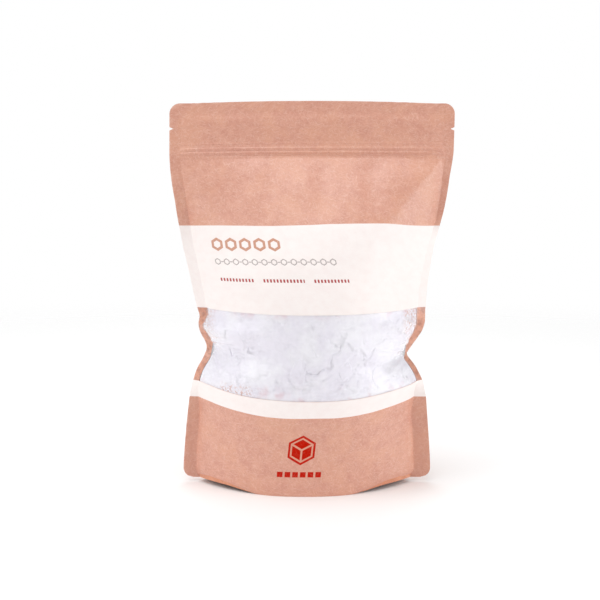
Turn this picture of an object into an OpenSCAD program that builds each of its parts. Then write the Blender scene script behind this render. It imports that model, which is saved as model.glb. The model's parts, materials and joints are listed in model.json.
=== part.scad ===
// Stand-up pouch of gymnastics chalk: two kraft laminate panels heat sealed at the sides, a folded bottom
// gusset, a clear window, a press-to-close zip, a tear-off header, and loose chalk with lumps inside.
// Millimetres. +Z is up, the front faces -Y, and the origin is the middle of the foot, on the surface.

/* [Pouch] */
// Width of the flat pouch, which is its width at the mouth
pouch_w = 190; // [186:1:196]
// Height of the filled pouch as it stands
pouch_h = 257; // [254:1:262]
// Width across the two bottom corners when the gusset is open
foot_w = 169; // [164:1:172]
// Width across the belly
belly_w = 156; // [152:1:160]
// Height of the middle of the belly
belly_z = 115; // [110:1:120]
// Height at which the sides reach the full width
shoulder_z = 225; // [222:1:228]
// Thickness of the laminate, along Y
ply = 0.3; // [0.2:0.05:0.4]
// Radius of the four outer corners
corner_r = 7; // [5:0.5:8]

/* [Seals] */
// Width of each side seal
side_seal = 8; // [7:0.5:9]
// Height of the top seal
top_seal = 10; // [8:0.5:12]
// Height of the skirt where the gusset is sealed to each panel
skirt_h = 8; // [6:0.5:10]
// How far the bottom corners stand off the surface
corner_lift = 4; // [2:0.5:5]

/* [Window] */
// Height of the window's lower edge at its middle
window_z0 = 63; // [60:1:66]
// Height of the window's upper edge at its middle
window_z1 = 118.5; // [116:0.5:122]
// How far the side seals crumple inwards beside the window
waist_dip = 8; // [4:0.5:9]
// How much higher the window's edges run at the sides
side_rise = 5; // [2:0.5:6]
// Thickness of the clear film
film_t = 0.1; // [0.05:0.01:0.15]
// Width of film bonded to the panel above and below the window
film_margin = 6; // [4:0.5:8]

/* [Mouth] */
// Height of the tear line and its notches
tear_z = 239.5; // [237:0.5:241]
// Slit of the tear line
tear_gap = 0.25; // [0.2:0.05:0.3]
// Depth of each tear notch
notch_d = 2.5; // [1.5:0.5:3]
// Height of the line that each lip bends about
lip_z = 182; // [180:1:186]
// Height of the middle of the zip
zip_z = 224; // [222:0.5:226]
// Height of each zip tape
tape_h = 10; // [9:0.5:11]
// Thickness of each zip tape
tape_t = 0.25; // [0.2:0.05:0.3]
// Half the thickness of the closed zip
zip_half = 1.2; // [1.1:0.05:1.3]
// Length of the zip between its crushed ends
zip_l = 144; // [130:1:144]

/* [Chalk] */
// Height of the top of the loose chalk at the sides
chalk_z = 158; // [150:1:162]
// How much the chalk heaps up in the middle
heap_h = 7; // [2:1:10]
// Depth of the bed of lumps behind the window
lump_bed = 9; // [7:0.5:10]

/* [Hidden] */
// Lumps behind the window, each as its X, its height above the surface, its width and its own height
LUMPS = [
    [-46, 102, 22, 15], [-20, 106, 18, 13], [6, 99, 26, 18], [33, 104, 19, 16], [50, 92, 15, 12],
    [-38, 84, 24, 15], [-9, 82, 19, 12], [20, 82, 22, 13], [43, 78, 14, 9]];

KRAFT = [0.85, 0.65, 0.55];
CHALK = [0.95, 0.95, 0.96];
CLEAR = [0.85, 0.9, 0.95];
ZIP_WHITE = [0.93, 0.92, 0.9];

panel_w = pouch_w - 2 * side_seal;  // a panel's width between the seals, which filling can't change
parting_z = zip_z - tape_h / 2 - 1; // the plies begin to part just under the zip
waist_z = 90;                       // the crumple in the side seals
waist_spread = 13;
bulge_power = 2.4;                  // how full each panel's curve is across the pouch
slack_power = 16;                   // how square the closed zip's ends are
bond = 0.05;                        // adhesive between the front panel and the film
clearance = 1;                      // between the chalk and what holds it

// A panel's grid has columns from -COLS to COLS between its seals, and one more outside each seal.
COLS = 12;
LIP_COL = 4;       // the lip's edge at its bend line
LIP_COL_TOP = 9.6; // and at the tear line
FOOT_ROWS = [0, 3, corner_r, 20, 36, 50];
WINDOW_ROWS = [window_z0, 74, 84, 94, 106, window_z1];
FILM_ROWS = concat([window_z0 - film_margin], WINDOW_ROWS, [window_z1 + film_margin]);
LIP_ROWS = [lip_z, 192, 202, 210, parting_z, 229, tear_z - 1.5, tear_z];
PANEL_ROWS = concat(FOOT_ROWS, FILM_ROWS, [138, 152, 167], LIP_ROWS);
HEADER_ROWS = concat([tear_z + tear_gap, tear_z + 1.5, pouch_h - top_seal],
    [for (a = [0:22.5:90]) pouch_h - corner_r * (1 - sin(a))]);

function mix(a, b, t) = a + (b - a) * t;
function smooth(t) = let (c = min(1, max(0, t))) c * c * (3 - 2 * c);

// Half the width across the pouch, before the crumple, the notches and the round corners.
function taper(z) = z < belly_z
    ? mix(foot_w, belly_w, smooth(z / belly_z)) / 2
    : mix(belly_w, pouch_w, smooth((z - belly_z) / (shoulder_z - belly_z))) / 2;
function crumple(z) = waist_dip * exp(-pow((z - waist_z) / waist_spread, 2));
function notch(z) = notch_d * max(0, 1 - abs(z - tear_z) / 1.5);
function corner(rise) = rise >= corner_r ? 0 : corner_r - sqrt(pow(corner_r, 2) - pow(corner_r - rise, 2));
function edge_x(z) = taper(z) - crumple(z) - notch(z) - corner(z) - corner(pouch_h - z);
function seal_x(z) = taper(z) - crumple(z) - side_seal;

// Depth of a panel's middle: where its seals draw together, a panel of constant width bows out.
function depth(z) =
    let (chord = 2 * (taper(min(shoulder_z, z + shoulder_z - parting_z)) - side_seal))
    chord * sqrt(max(0, 3 / 8 * (panel_w / chord - 1)));
// The zip holds the plies apart as far up as the top seal.
function slack(z) = zip_half * smooth((pouch_h - top_seal + 3 - z) / 6);
// Y of the front panel's inner face.
function inner_y(x, z) =
    let (t = min(1, abs(x) / seal_x(z)))
    -depth(z) * (1 - pow(t, bulge_power)) - slack(z) * (1 - pow(t, slack_power));

// How far a row is raised at a share t of the panel's half width.
function lift(t, z) =
    corner_lift * smooth((abs(t) - 0.5) / 0.3) * max(0, 1 - z / window_z0)
    + side_rise * sin(180 * min(1, z / (window_z1 + film_margin))) * t * t;
// Columns lean outwards above the bend line, so that the lip is as wide as the mouth at the tear line.
function lip_edge(z) = mix(LIP_COL, LIP_COL_TOP, max(0, (z - lip_z) / (tear_z - lip_z)));
function lean(i, z) = abs(i) <= LIP_COL
    ? i * lip_edge(z) / LIP_COL
    : sign(i) * mix(lip_edge(z), COLS, (abs(i) - LIP_COL) / (COLS - LIP_COL));
// The share of the half width at a column: columns are closer together towards the seals.
function share(i) = sin(90 * i / COLS);

// A point of the front panel, a distance in from its outer face.
function panel_point(i, z, in) =
    let (t = abs(i) > COLS ? sign(i) : share(z > tear_z ? i : lean(i, z)),
         x = abs(i) > COLS ? sign(i) * edge_x(z) : t * seal_x(z))
    [x, inner_y(x, z) - ply + in, z + lift(t, z)];
function panel_grid(cols, rows, in) = [for (z = rows) [for (i = cols) panel_point(i, z, in)]];
function behind(grid) = [for (row = grid) [for (p = row) [p.x, -p.y, p.z]]];

// A closed solid between two grids of points, of which near faces -Y where the rows go up and the
// columns go right. Cells for which keep(row, column) is false are left open.
module sheet(near, far, keep = function (r, c) true) {
    rows = len(near);
    cols = len(near[0]);
    function at(r, c, side) = (side * rows + r) * cols + c;
    function kept(r, c) = r >= 0 && c >= 0 && r < rows - 1 && c < cols - 1 && keep(r, c);
    function quad(a, b, c, d) = [[a, b, c], [a, c, d]];
    function wall(ra, ca, rb, cb) = quad(at(ra, ca, 0), at(rb, cb, 0), at(rb, cb, 1), at(ra, ca, 1));
    function cell(r, c) = concat(
        quad(at(r, c, 0), at(r + 1, c, 0), at(r + 1, c + 1, 0), at(r, c + 1, 0)),
        quad(at(r, c, 1), at(r, c + 1, 1), at(r + 1, c + 1, 1), at(r + 1, c, 1)),
        kept(r - 1, c) ? [] : wall(r, c, r, c + 1),
        kept(r + 1, c) ? [] : wall(r + 1, c + 1, r + 1, c),
        kept(r, c - 1) ? [] : wall(r + 1, c, r, c),
        kept(r, c + 1) ? [] : wall(r, c + 1, r + 1, c + 1));
    polyhedron(
        points = concat([for (row = near) each row], [for (row = far) each row]),
        faces = [for (r = [0:rows - 2], c = [0:cols - 2]) if (kept(r, c)) each cell(r, c)]);
}

ALL_COLS = [-COLS - 1:COLS + 1];
LIP_COLS = [-LIP_COL:LIP_COL];
FILM_COLS = [-COLS + 1:COLS - 1];

// Cells are counted from the lower left corner, where the first column of cells is the seal.
function in_window(r, c) =
    r > len(FOOT_ROWS) && r < len(FOOT_ROWS) + len(WINDOW_ROWS) && c > 1 && c < 2 * COLS;
function in_lip(r, c) =
    r >= len(PANEL_ROWS) - len(LIP_ROWS) && abs(c - COLS - 0.5) < LIP_COL;

module front_panel() color(KRAFT)
    sheet(panel_grid(ALL_COLS, PANEL_ROWS, 0), panel_grid(ALL_COLS, PANEL_ROWS, ply),
        function (r, c) !in_window(r, c) && !in_lip(r, c));

module back_panel() color(KRAFT)
    sheet(behind(panel_grid(ALL_COLS, PANEL_ROWS, ply)), behind(panel_grid(ALL_COLS, PANEL_ROWS, 0)),
        function (r, c) !in_lip(r, c));

// The middle of a mouth ply, from its bend line up to the tear line.
module front_lip() color(KRAFT) sheet(panel_grid(LIP_COLS, LIP_ROWS, 0), panel_grid(LIP_COLS, LIP_ROWS, ply));
module back_lip() mirror([0, 1, 0]) front_lip();

module header_front_ply() color(KRAFT)
    sheet(panel_grid(ALL_COLS, HEADER_ROWS, 0), panel_grid(ALL_COLS, HEADER_ROWS, ply));
module header_back_ply() mirror([0, 1, 0]) header_front_ply();

module window_film() color(CLEAR)
    sheet(panel_grid(FILM_COLS, FILM_ROWS, ply + bond), panel_grid(FILM_COLS, FILM_ROWS, ply + bond + film_t));

// The gusset runs up the inside of the front panel, across and down the inside of the back panel.
GUSSET_COLS = [-COLS + 2:COLS - 2];
fold_rise = 34;  // how far the fold would climb at the seals
floor_sag = 2;
hem = 0.4;       // the panels reach lower than the gusset, so that they carry the pouch
skirt_gap = 0.2;
function fold_z(t) = skirt_h + lift(t, 0) + fold_rise * pow(abs(t), 6);
function skirt_point(t, z, in) =
    let (x = t * seal_x(z))
    [x, inner_y(x, z) + skirt_gap + ply - in, z];
function gusset_profile(t, in) =
    let (foot = skirt_point(t, lift(t, 0) + hem, in), fold = skirt_point(t, fold_z(t), in))
    concat(
        [foot],
        [for (q = [-1:0.25:1])
            [fold.x, -q * fold.y, fold.z + in - floor_sag * (1 - t * t) * (1 - q * q)]],
        [[foot.x, -foot.y, foot.z]]);
function gusset_grid(in) = [for (i = GUSSET_COLS) gusset_profile(share(i), in)];
module bottom_gusset() color(KRAFT) sheet(gusset_grid(0), gusset_grid(ply));

// Y of the panel's inner face at a height above the surface, on the safe side of how far rows are raised.
function wall_y(x, z) = max(inner_y(x, z), inner_y(x, z - side_rise));
// How far back the powder's face lies, which makes the bed for the lumps.
function bed(t, z) =
    lump_bed * smooth((z - window_z0) / 12) * smooth((window_z1 - z) / 12) * smooth((0.8 - abs(t)) / 0.2);
function chalk_point(t, k, in) =
    let (z = mix(fold_z(t) + ply + clearance, chalk_z + heap_h * cos(90 * t), k),
         x = t * (seal_x(z) - 5))
    [x, wall_y(x, z) + clearance + in * bed(t, z), z];
function chalk_grid(in) = [for (k = [0:14]) [for (i = [-8:8]) chalk_point(share(i * COLS / 8), k / 14, in)]];
module chalk_powder() color(CHALK) sheet(chalk_grid(1), behind(chalk_grid(0)));

// A lump lies just behind the film, with its back sunk in the powder.
module chalk_lump(k) {
    size = LUMPS[k - 1];
    r = lump_bed / 2;
    y = wall_y(abs(size.x) + size[2] / 2, size.y) + clearance + r;
    color(CHALK) translate([size.x, y, size.y]) rotate([0, 37 * k, 0]) hull() {
        translate([r - size[2] / 2, 0, 0]) sphere(r, $fn = 14);
        translate([size[2] / 2 - r, 0, 1]) sphere(r * 0.8, $fn = 14);
        translate([0, 0.5, size[3] / 2 - r * 0.7]) sphere(r * 0.7, $fn = 14);
    }
}

// Zip: a tape welded inside each lip, with a rib on the front one and a channel for it on the back one.
weld = 0.05; // how far a tape sinks into its lip
rib_r = 0.42;
stem_t = 0.5;
channel_h = 1;
hook_t = 0.3;
hook_y = -0.35;
module along_zip() rotate([90, 0, 90]) linear_extrude(zip_l, center = true) children();
module tape() along_zip() translate([-zip_half - weld, zip_z - tape_h / 2]) square([tape_t + weld, tape_h]);
module zip_rib_track() color(ZIP_WHITE) {
    tape();
    along_zip() translate([-zip_half, zip_z - stem_t / 2]) square([zip_half, stem_t]);
    along_zip() translate([0, zip_z]) circle(rib_r, $fn = 24);
}
module zip_groove_track() color(ZIP_WHITE) {
    mirror([0, 1, 0]) tape();
    for (side = [-1, 1])
        along_zip() translate([hook_y, zip_z + side * (channel_h + hook_t) / 2 - hook_t / 2])
            square([zip_half - hook_y, hook_t]);
}

front_panel();
back_panel();
bottom_gusset();
window_film();
chalk_powder();
front_lip();
back_lip();
zip_rib_track();
zip_groove_track();
header_front_ply();
header_back_ply();
for (k = [1:len(LUMPS)]) chalk_lump(k);
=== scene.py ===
"""The looks of a stand-up pouch of loose chalk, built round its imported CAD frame.

Lengths are millimetres in the row frame: +Z up, front towards -Y. mesh_from() turns them into metres.
A ply of the pouch is a grid of points. Its rows are heights on the flat sheet, and its columns run from
the left edge, across the left seal, between the seals and across the right seal.

Short names that recur: t is the share of a panel's half width, from -1 at the left seal to 1 at the right
one. f is the share of the way across a seal, from 0 at its inner edge to 1 at the pouch's edge. z is a
height on the flat sheet. face is FRONT or BACK. s is the shader that is being built.
"""

import json
import math

import bmesh
import bpy
import numpy as np
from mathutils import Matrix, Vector
from mathutils.bvhtree import BVHTree


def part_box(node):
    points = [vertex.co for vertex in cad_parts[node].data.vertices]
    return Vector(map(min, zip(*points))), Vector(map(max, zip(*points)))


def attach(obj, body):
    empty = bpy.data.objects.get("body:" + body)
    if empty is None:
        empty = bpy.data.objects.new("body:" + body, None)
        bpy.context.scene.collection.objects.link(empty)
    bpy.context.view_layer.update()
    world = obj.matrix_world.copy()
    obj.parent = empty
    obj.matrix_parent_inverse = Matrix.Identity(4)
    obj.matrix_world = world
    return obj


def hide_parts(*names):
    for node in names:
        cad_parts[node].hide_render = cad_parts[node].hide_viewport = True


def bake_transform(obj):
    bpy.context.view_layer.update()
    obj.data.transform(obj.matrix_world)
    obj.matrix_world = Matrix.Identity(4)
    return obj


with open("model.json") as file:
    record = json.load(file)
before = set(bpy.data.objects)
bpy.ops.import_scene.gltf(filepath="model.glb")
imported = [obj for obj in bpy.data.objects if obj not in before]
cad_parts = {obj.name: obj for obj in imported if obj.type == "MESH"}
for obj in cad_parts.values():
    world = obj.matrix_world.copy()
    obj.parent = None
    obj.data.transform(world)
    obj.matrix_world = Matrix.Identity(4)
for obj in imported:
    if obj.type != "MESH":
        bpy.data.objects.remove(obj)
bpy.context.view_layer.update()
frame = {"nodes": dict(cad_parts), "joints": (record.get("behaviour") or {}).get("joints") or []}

MM = 0.001
FRONT, BACK = -1, 1
LEFT, RIGHT = -1, 1


def node_z(node):
    """A CAD node's lowest and highest point, in millimetres."""
    low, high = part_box(node)
    return low.z / MM, high.z / MM


# Heights on the sheet, from the frame
TOP = node_z("header_front_ply")[1]
TEAR = node_z("front_panel")[1]
ZIP = sum(node_z("zip_rib_track")) / 2
LIP = next(joint for joint in frame["joints"] if joint["name"] == "front_lip_bend")["pos_m"][2] / MM
MOUTH_W = (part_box("header_front_ply")[1].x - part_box("header_front_ply")[0].x) / MM
CHALK_CROWN = 7
CHALK_TOP = node_z("chalk_powder")[1] - CHALK_CROWN

# The outline: it is widest at the mouth and narrowest at the belly
FOOT_W = 169
BELLY_W = 156
BELLY_Z = 115
SHOULDER_Z = 225
CORNER_R = 7
NOTCH_DEPTH = 2.5
NOTCH_HALF_H = 1.2
# How far the foot stands to the left of the mouth
LEAN = 3.1

# The plies: how they are sealed, and where they part below the zip
SEAL = 8
TOP_SEAL = 10
SKIRT = 8
PLY = 0.3
FILM = 0.05
# How far each sheet's inner side lies off the ply's surface: the film lies inside the front paper
FRONT_OUT = 0.08
BACK_OUT = 0.04
FILM_OUT = 0.02
GUSSET_OUT = -0.12
ZIP_OUT = -0.08
PARTING = ZIP - 3.5
SEAL_COLUMNS = 5
# Half the gap that the closed zip keeps between the plies
ZIP_HALF = 1.2
# The power of the bow's curve from seal to seal
BULGE = 2.4

# Printed and cut lines, as (lower, upper) heights
STRIPE = (52.1, 63.1)
WINDOW = (63.1, 118.6)
LABEL = (118.6, 174.8)
FILM_MARGIN = 6


def mix(a, b, t):
    return a + (b - a) * t


def smooth(t):
    """0 below 0 and 1 above 1, with an easy turn at both."""
    t = np.clip(t, 0, 1)
    return t * t * (3 - 2 * t)


def bump(t):
    """1 at 0, falling smoothly to 0 at -1 and 1."""
    return smooth(1 - np.abs(t))


def bell(t):
    """1 at 0, falling on a bell curve to about a third at -1 and 1."""
    return np.exp(-(t**2))


def wave(value, length, phase=0.0):
    """A cosine wave."""
    return np.cos(2 * math.pi * value / length + phase)


def softplus(value, soft):
    """The value where it is above zero, and nearly zero below it, with a round turn between."""
    return soft * np.logaddexp(0, value / soft)


def eased(z, *knots):
    """A value that eases from one (height, value) knot to the next."""
    out = np.full(np.shape(z), float(knots[0][1]))
    for (z0, v0), (z1, v1) in zip(knots, knots[1:]):
        out = out + (v1 - v0) * smooth((z - z0) / (z1 - z0))
    return out


def ripple(size, seed, *axes, waves=28):
    """Smooth noise of about unit strength, whose features are about size across."""
    rng = np.random.default_rng(seed)
    ways = rng.normal(size=(waves, len(axes)))
    ways *= (2 * math.pi / size * rng.uniform(0.45, 1.1, waves) / np.linalg.norm(ways, axis=1))[:, None]
    phase = rng.uniform(0, 2 * math.pi, waves)
    out = np.zeros(np.broadcast(*axes).shape)
    for way, p in zip(ways, phase):
        out = out + np.cos(sum(k * axis for k, axis in zip(way, axes)) + p)
    return out / math.sqrt(waves / 2)


def cells(x, z, size, seed):
    """How far each place is from its cell's border in a jumble of cells, and the cell's own number."""
    rng = np.random.default_rng(seed)
    grid_x, grid_z = np.meshgrid(np.arange(-110, 110, size), np.arange(40, 140, size))
    scatter = rng.uniform(-0.45, 0.45, (grid_x.size, 2)) * size
    middles = np.stack([grid_x.ravel(), grid_z.ravel()], 1) + scatter
    tone = rng.uniform(0, 1, len(middles))
    away = np.hypot(x[..., None] - middles[:, 0], z[..., None] - middles[:, 1])
    nearest = np.argmin(away, -1)
    away = np.sort(away, -1)
    return away[..., 1] - away[..., 0], tone[nearest]


# -------- the pouch's form


def taper(z):
    """Half the pouch's width, before its seals crumple."""
    below = mix(FOOT_W, BELLY_W, smooth(z / BELLY_Z))
    above = mix(BELLY_W, MOUTH_W, smooth((z - BELLY_Z) / (SHOULDER_Z - BELLY_Z)))
    return np.where(z < BELLY_Z, below, above) / 2


# How far each side seal has crumpled inwards, as (height, distance) knots
PINCH_LEFT = (
    (0, -0.5), (40, -0.1), (60, 0.5), (70, 1.6), (77, 3.1), (84, 6.6), (91, 9.2), (96, 7.7), (102, 4.0),
    (108, 2.5), (114, 4.0), (119, 2.4), (130, 0.5), (142, -0.5), (159, -1.5), (178, -0.6), (192, 0.4),
)
PINCH_RIGHT = (
    (0, -0.2), (35, 0.5), (58, 0.8), (70, 2.2), (79, 6.1), (87, 12.0), (97, 5.0), (103, 1.2),
    (109, -0.6), (124, -0.6), (142, 0), (159, 1.0), (208, 1.6), (224, 0.4),
)
# Widths of the side seals as they show from the front: they curl back beside the window
SEAL_LEFT = (
    (0, 9), (45, 8.5), (62, 6), (71, 4.2), (84, 4.7), (92, 5.6), (100, 5.4), (107, 3), (116, 6.5),
    (128, 7), (160, 7.5), (230, 8),
)
SEAL_RIGHT = (
    (0, 11.5), (48, 11), (62, 8), (71, 3.6), (80, 3.8), (88, 4.2), (97, 5.6), (104, 6), (118, 6),
    (150, 5.5), (178, 3.8), (219, 5.8), (229, 8),
)
# How softly the crumples turn at their knots
EASE_LEFT = 2.0
EASE_RIGHT = 1.3


def knotted(z, knots, ease=EASE_LEFT):
    """A value from straight lines between (height, value) knots, with the corners eased."""
    heights, values = zip(*knots)
    shifts = (-1, -0.5, 0, 0.5, 1)
    return sum(np.interp(z + shift * ease, heights, values) for shift in shifts) / len(shifts)


def pinch(z, side):
    """How far a side edge has moved in."""
    return knotted(z, PINCH_LEFT) if side == LEFT else knotted(z, PINCH_RIGHT, EASE_RIGHT)


def corner(rise):
    """How far a round corner has moved in at a rise above its end."""
    inside = np.clip(rise, 0, CORNER_R)
    return CORNER_R - np.sqrt(np.maximum(0, CORNER_R**2 - (CORNER_R - inside) ** 2))


def edge_x(z, side):
    """X of the pouch's outer edge."""
    notch = NOTCH_DEPTH * np.maximum(0, 1 - np.abs(z - TEAR) / NOTCH_HALF_H)
    height = z + lift(1, z)
    lean = -LEAN * (1 - z / TEAR)
    return lean + side * (taper(height) - pinch(height, side) - notch - corner(z) - corner(TOP - z))


def seal_w(z, side):
    """A side seal's width as it shows from the front."""
    return knotted(z + lift(1, z), SEAL_LEFT if side == LEFT else SEAL_RIGHT)


def seal_y(z, side):
    """Y of a side seal, which waves a little along its length and kinks where it has crumpled."""
    z = z + lift(1, z)
    sway = 0.7 * ripple(70, 5 + side, z)
    hold = smooth(z / 20) * smooth((TEAR - z) / 60)
    kink = 3.2 * bump((z - 90) / 22) - 1.6 * bump((z - 116) / 18) - 1.2 * bump((z - 64) / 18)
    return hold * (sway + (kink if side == RIGHT else 0.8 * kink))


def depth(z):
    """How far a panel's middle bows out: its width between the seals can't change as they draw together."""
    chord = 2 * taper(np.minimum(SHOULDER_Z, z + SHOULDER_Z - PARTING)) - 2 * SEAL
    width = MOUTH_W - 2 * SEAL
    return chord * np.sqrt(np.maximum(0, 3 / 8 * (width / chord - 1)))


def slack(z):
    """How far the zip holds a ply off the middle: it fades out at the header's seal."""
    return ZIP_HALF * smooth((TOP - TOP_SEAL + 3 - z) / 6)


def lift(t, z):
    """How far a row is raised: at the round foot, along the printed lines and at the mouth's ends."""
    foot = 2.7 * smooth((np.abs(t) - 0.45) / 0.3) * np.clip(1 - z / 60, 0, 1)
    print_rise = eased(z, (0, 0), (58, 6.6), (118, 1.2), (150, 0))
    arch = 1.6 * t**2 * smooth((z - 225) / 30)
    return foot + print_rise * np.abs(t) ** 2.2 - arch


def zip_ridges(x, z, sag):
    """The zip shows through the ply as two close ridges, and its tape's top edge as a fainter one."""
    up = z - ZIP + sag
    held = smooth((90 - np.abs(x)) / 5)
    upper = 0.6 * bell((up - 1.9) / 0.75)
    lower = 0.65 * bell((up + 0.7) / 0.65)
    edge = 0.25 * bell((up - 5.2) / 0.7)
    tape = 0.3 * smooth((5.0 - np.abs(up)) / 1.5)
    return held * (upper + lower + edge + tape)


def fold(x, z, start, end, width, height):
    """A creased ridge along a line, which fades out sideways and towards its ends."""
    (x0, z0), (x1, z1) = start, end
    length = math.hypot(x1 - x0, z1 - z0)
    along = ((x - x0) * (x1 - x0) + (z - z0) * (z1 - z0)) / length**2
    off = ((x - x0) * (z1 - z0) - (z - z0) * (x1 - x0)) / length
    crest_r = width / 14
    away = np.sqrt(off**2 + crest_r**2) - crest_r
    rise = np.maximum(0, 1 - away / width) ** 2
    return height * smooth(np.minimum(along + 0.12, 1.12 - along) / 0.3) * rise


def facet(x, z):
    """A flat facet between the right seal and a straight crease that runs down from the mouth's corner."""
    (low_x, low_z), (high_x, high_z) = (49, 177), (87.5, 221)
    crease_x = mix(low_x, high_x, (z - low_z) / (high_z - low_z))
    seal_x = edge_x(z, RIGHT) - seal_w(z, RIGHT)
    to_seal = (seal_x - x) / np.maximum(seal_x - crease_x, 4)
    to_left = np.maximum(0, 1 - (crease_x - x) / 50) ** 1.3
    crest_r = 0.05
    rise = to_seal - softplus(to_seal - to_left, crest_r)
    return eased(z, (138, 0), (174, 5.0), (204, 5.2), (223, 0)) * np.clip(rise, 0, 1)


# Creases in the film where the seals have crumpled, as start, end, width and height
FILM_FOLDS = (
    ((-76, 117), (-58, 101), 3.2, 0.7),
    ((-70, 94), (-50, 97), 3.0, 0.8),
    ((-71, 90), (-52, 84), 3.4, 0.7),
    ((-69, 88), (-60, 72), 3.0, 0.5),
    ((-44, 73), (-37, 64), 2.2, 0.5),
    ((66, 86), (44, 92), 3.4, 0.8),
    ((67, 89), (57, 108), 3.0, 0.8),
    ((70, 106), (60, 113), 2.4, 0.7),
    ((69, 111), (58, 102), 2.2, 0.5),
    ((67, 83), (50, 73), 3.2, 0.7),
    ((64, 84), (40, 82), 2.6, 0.4),
)


def flutes(x, z, face):
    """Soft upright waves below the zip, where the panel fans out from the straight mouth."""
    waves = 0.75 * wave(x - 7 * face, 31) + 0.3 * wave(x, 17, 1)
    return 0.65 * waves * smooth((z - 172) / 30) * smooth((PARTING - z) / 9) * np.exp(-((x / 72) ** 4))


def crumple_fans(t, z):
    """Creases that fan out from the deepest point of each side's crumple."""
    out = 0.0
    for side, crumple_z in ((LEFT, 91.5), (RIGHT, 86.0)):
        reach = np.maximum(0, 1 - side * t) * 72
        length = mix(10, 18, np.clip(reach / 40, 0, 1))
        fan = wave(z - crumple_z + 0.12 * reach, length)
        out = out + 0.9 * fan * np.exp(-reach / 14) * bell((z - crumple_z) / 21)
    return out


def front_creases(x, t, z):
    """The front's own marks: the facet and the bead beside it, folds at the corners and creased film."""
    bead = 0.5 * bell((1 - t) / 0.012) * smooth((z - 174) / 8) * smooth((226 - z) / 8)
    left = fold(x, z, (-89, 220), (-72, 196), 14, 1.3) + fold(x, z, (-80, 52), (-60, 30), 16, 1.2)
    dent = fold(x, z, (66, 33), (66, 16), 2.2, 0.6)
    film = sum(fold(x, z, *film_fold) for film_fold in FILM_FOLDS)
    return facet(x, z) + bead + left * smooth((1 + t) / 0.15) - dent + film


def back_creases(x, t, z):
    """Two long folds across the back."""
    upper = fold(x, z, (-82, 214), (-44, 160), 24, 2.0) * smooth((1 + t) / 0.2)
    lower = fold(x, z, (80, 96), (30, 120), 18, 1.4) * smooth((1 - t) / 0.2)
    return upper + lower


def relief(x, t, z, face):
    """How far a ply stands out from the pouch's plain form."""
    inner = smooth((1 - np.abs(t)) / 0.12)
    seed = 11 if face == FRONT else 23
    soft = 0.55 * ripple(62, seed, x, z) + 0.2 * ripple(24, seed + 1, x, z)
    soft = soft * smooth(z / 30) * smooth((PARTING + 2 - z) / 25)
    fine = 0.04 * ripple(7, seed + 2, x, z) * smooth(z / 6)
    header = 0.07 * ripple(9, seed + 4, x, z / 3) * smooth((z - ZIP) / 8)
    hem = 0.45 * smooth((fold_z(t) + 1.5 - z) / 3) * smooth((np.abs(t) - 0.3) / 0.3)
    creases = front_creases(x, t, z) if face == FRONT else back_creases(x, t, z)
    zip_sag = 0.8 * t**2 - 0.3 * t
    broad = soft + flutes(x, z, face) + crumple_fans(t, z) - hem
    return broad * inner + fine + header + zip_ridges(x, z, zip_sag) + creases


def crowded(count, reach):
    """Values from -1 to 1 that are closer together near the ends, more so as reach comes up to pi / 2."""
    return np.sin(np.linspace(-reach, reach, count)) / math.sin(reach)


def columns(inner_count):
    """Shares t and f of the columns, which are closer together near the seals."""
    seal = np.linspace(0, 1, SEAL_COLUMNS + 1)[1:]
    ones = np.ones(SEAL_COLUMNS)
    t = np.concatenate([-ones, crowded(inner_count, 0.46 * math.pi), ones])
    return t, np.concatenate([seal[::-1], np.zeros(inner_count), seal])


def form(t, f, z, face):
    """Points of a ply's inner face, before its relief."""
    left = edge_x(z, LEFT) + seal_w(z, LEFT)
    right = edge_x(z, RIGHT) - seal_w(z, RIGHT)
    out = np.where(t < 0, -seal_w(z, LEFT), seal_w(z, RIGHT))
    x = mix(left, right, (t + 1) / 2) + f * out
    y_seal = np.where(t < 0, seal_y(z, LEFT), seal_y(z, RIGHT))
    curl = np.sqrt(np.maximum(0, SEAL**2 - np.minimum(np.abs(out), SEAL) ** 2))
    curl = curl * eased(z, (45, 0), (65, 0.55), (160, 0.55), (185, -0.25), (228, 0))
    bow = depth(z) * (1 - np.abs(t) ** BULGE) + slack(z) * (1 - np.abs(t) ** 16)
    y = face * bow + y_seal * np.abs(t) ** 5 + f * curl
    return np.stack([x, y, z + lift(t, z)], -1)


def outward(points, face):
    """Unit normals of a grid of points, away from the pouch's inside."""
    n = np.cross(np.gradient(points, axis=1), np.gradient(points, axis=0)) * -face
    return n / np.maximum(np.linalg.norm(n, axis=-1, keepdims=True), 1e-9)


def ply_surface(t, f, z, face, out=0.0):
    """A grid of points on a ply's inner face, set off outwards by out, and the ply's normals."""
    t, f, z = np.broadcast_arrays(t, f, z)
    points = form(t, f, z, face)
    stand = relief(points[..., 0], t, z, face) * (1 - f**0.5)
    points = points + outward(points, face) * stand[..., None]
    normal = outward(points, face)
    return points + normal * out, normal


def spaced_rows(start, *stops):
    """Heights from the start through each (step, height) stop in even steps."""
    rows = [start]
    for step, stop in stops:
        count = max(1, round((stop - rows[-1]) / step))
        rows += list(np.linspace(rows[-1], stop, count + 1)[1:])
    return np.array(rows)


# -------- meshes


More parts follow.
